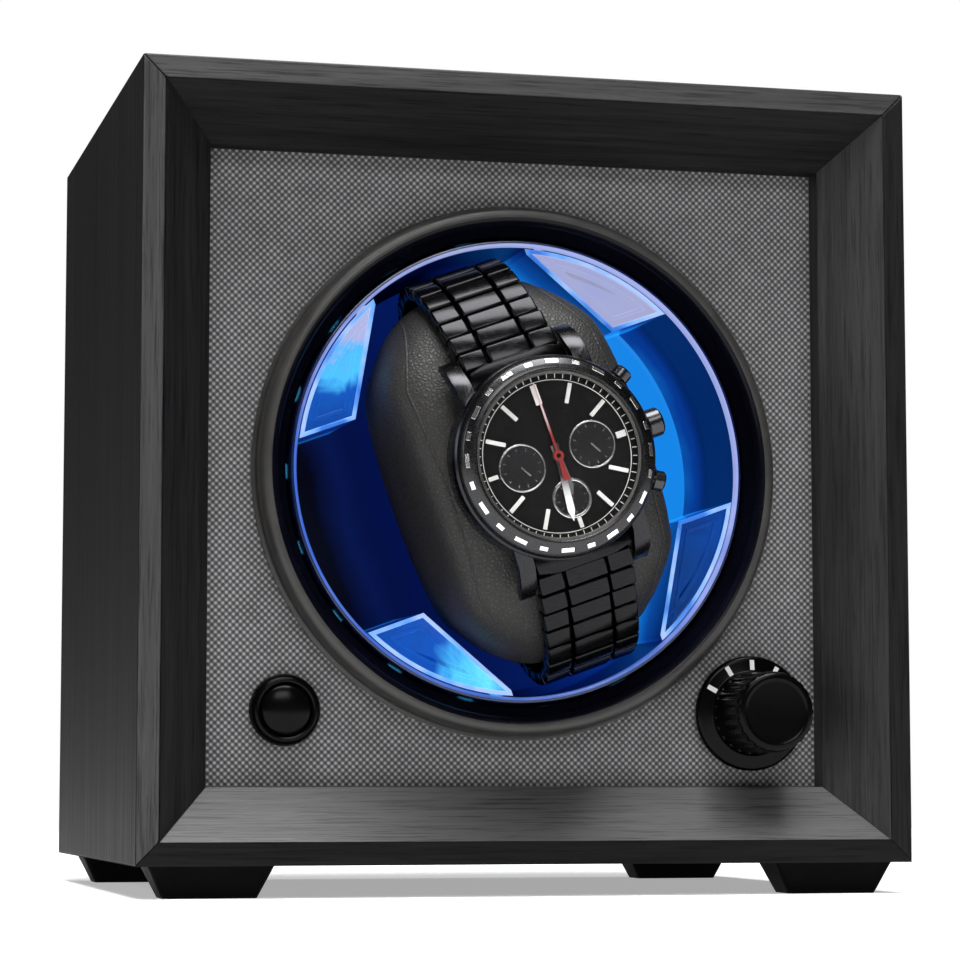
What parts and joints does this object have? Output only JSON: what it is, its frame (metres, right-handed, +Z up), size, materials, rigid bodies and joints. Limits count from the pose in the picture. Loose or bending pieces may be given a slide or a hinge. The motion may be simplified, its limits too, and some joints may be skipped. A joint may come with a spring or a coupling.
{
  "type": "watch winder box",
  "caption": "Black wood watch winder with a bevelled frame round a cloth front and a blue-lit turning drum, its cushion and chronograph, a mode knob and a push button.",
  "frame": {"origin": "on the surface it stands on, at the centre of the whole object's footprint box, which includes the watch that stands out of the front", "axes": "+Z up; the front, with the drum, knob and button, faces -Y; +X is to the right as seen from the front"},
  "size_m": [0.165, 0.1574, 0.1716],
  "materials": {
    "ebonized_wood": "ebonized oak, open vertical grain, satin lacquer",
    "ebonized_moulding": "ebonized oak moulding, satin lacquer",
    "board_wood": "raw fibreboard",
    "grille_cloth": "woven speaker cloth, two-tone check",
    "black_plastic": "fine texture",
    "bezel_plastic": "soft satin, moulded",
    "gloss_black": "polished",
    "drum_plastic": "polished, lit blue from behind",
    "drum_block_plastic": "polished, lit blue from behind",
    "steel": "turned",
    "screw_steel": "black oxide",
    "bronze": "sintered",
    "gear_plastic": "acetal",
    "motor_steel": "plated",
    "board_green": "solder mask",
    "component_black": "moulded",
    "wire_black": "insulation",
    "led": "lit",
    "leather": "fine grain, stitched",
    "black_steel": "black ion plating",
    "bezel_steel": "black and polished",
    "watch_glass": "clear",
    "dial_black": "matte with white print",
    "hand_white": "lume filled",
    "hand_dark": "lacquered"
  },
  "bodies": {
    "cabinet": {"left_panel": "ebonized_wood", "right_panel": "ebonized_wood", "top_panel": "ebonized_wood", "bottom_panel": "ebonized_wood", "left_moulding": "ebonized_moulding", "right_moulding": "ebonized_moulding", "top_moulding": "ebonized_moulding", "bottom_moulding": "ebonized_moulding", "baffle_board": "board_wood", "grille_cloth": "grille_cloth", "baffle_screws": "screw_steel", "back_panel": "black_plastic", "back_battens": "board_wood", "back_screws": "screw_steel", "feet": "black_plastic", "foot_screws": "screw_steel", "bezel_ring": "bezel_plastic", "drum_housing": "black_plastic", "housing_screws": "screw_steel", "light_strip": "wire_black", "light_chips": "led", "drum_bush": "bronze", "motor_gearbox": "motor_steel", "motor_can": "motor_steel", "motor_screws": "steel", "circuit_board": "board_green", "board_components": "component_black", "board_standoffs": "gear_plastic", "dc_jack": "gloss_black", "wiring_loom": "wire_black", "switch_body": "component_black", "switch_nut": "steel", "button_housing": "gloss_black", "button_nut": "steel", "button_switch": "component_black"},
    "mode_knob": {"mode_knob": "gloss_black", "switch_shaft": "steel"},
    "power_button": {"button_cap": "gloss_black"},
    "drum": {"drum_cup": "drum_plastic", "drum_corner_blocks": "drum_block_plastic", "drum_flange": "black_plastic", "drum_shaft": "steel", "drive_gear": "gear_plastic", "shaft_clip": "steel"},
    "motor_drive": {"motor_pinion": "gear_plastic", "motor_shaft": "steel"},
    "cushion": {"cushion": "leather", "bracelet_upper": "black_steel", "bracelet_lower": "black_steel", "bracelet_clasp": "black_steel", "watch_case": "black_steel", "watch_bezel": "bezel_steel", "watch_crystal": "watch_glass", "watch_dial": "dial_black"},
    "hour_hand": {"hour_hand": "hand_dark"},
    "minute_hand": {"minute_hand": "hand_white"},
    "seconds_hand": {"seconds_hand": "hand_white"},
    "watch_crown": {"watch_crown": "black_steel"},
    "upper_pusher": {"upper_pusher": "black_steel"},
    "lower_pusher": {"lower_pusher": "black_steel"}
  },
  "joints": [
    {"name": "drum_spin", "type": "hinge", "parent": "cabinet", "child": "drum", "pos_m": [0, -0.01325, 0.0891], "axis": [0, -1, 0], "continuous": true},
    {"name": "motor_spin", "type": "hinge", "parent": "cabinet", "child": "motor_drive", "pos_m": [0, -0.00625, 0.06022], "axis": [0, -1, 0], "continuous": true},
    {"name": "cushion_slide", "type": "slide", "parent": "drum", "child": "cushion", "axis": [0, -1, 0], "range_m": [0, 0.06]},
    {"name": "mode_knob_turn", "type": "hinge", "parent": "cabinet", "child": "mode_knob", "pos_m": [0.0518, -0.05025, 0.0381], "axis": [0, -1, 0], "range_deg": [-60, 30]},
    {"name": "power_button_press", "type": "slide", "parent": "cabinet", "child": "power_button", "axis": [0, 1, 0], "range_m": [0, 0.0015], "stiffness_N_per_m": 600},
    {"name": "minute_hand_turn", "type": "hinge", "parent": "cushion", "child": "minute_hand", "pos_m": [0, -0.07645, 0.0891], "axis": [0, -1, 0], "continuous": true},
    {"name": "hour_hand_turn", "type": "hinge", "parent": "cushion", "child": "hour_hand", "pos_m": [0, -0.07605, 0.0891], "axis": [0, -1, 0], "continuous": true},
    {"name": "seconds_hand_turn", "type": "hinge", "parent": "cushion", "child": "seconds_hand", "pos_m": [0, -0.07675, 0.0891], "axis": [0, -1, 0], "continuous": true},
    {"name": "crown_turn", "type": "hinge", "parent": "cushion", "child": "watch_crown", "pos_m": [0.02067, -0.07065, 0.09662], "axis": [0.9397, 0, 0.342], "continuous": true},
    {"name": "upper_pusher_press", "type": "slide", "parent": "cushion", "child": "upper_pusher", "axis": [-0.6428, 0, -0.766], "range_m": [0, 0.0009], "stiffness_N_per_m": 300},
    {"name": "lower_pusher_press", "type": "slide", "parent": "cushion", "child": "lower_pusher", "axis": [-0.9848, 0, 0.1736], "range_m": [0, 0.0009], "stiffness_N_per_m": 300}
  ],
  "couplings": [
    {"joint": "motor_spin", "follows": "drum_spin", "ratio": -5},
    {"joint": "hour_hand_turn", "follows": "minute_hand_turn", "ratio": 0.083333}
  ]
}
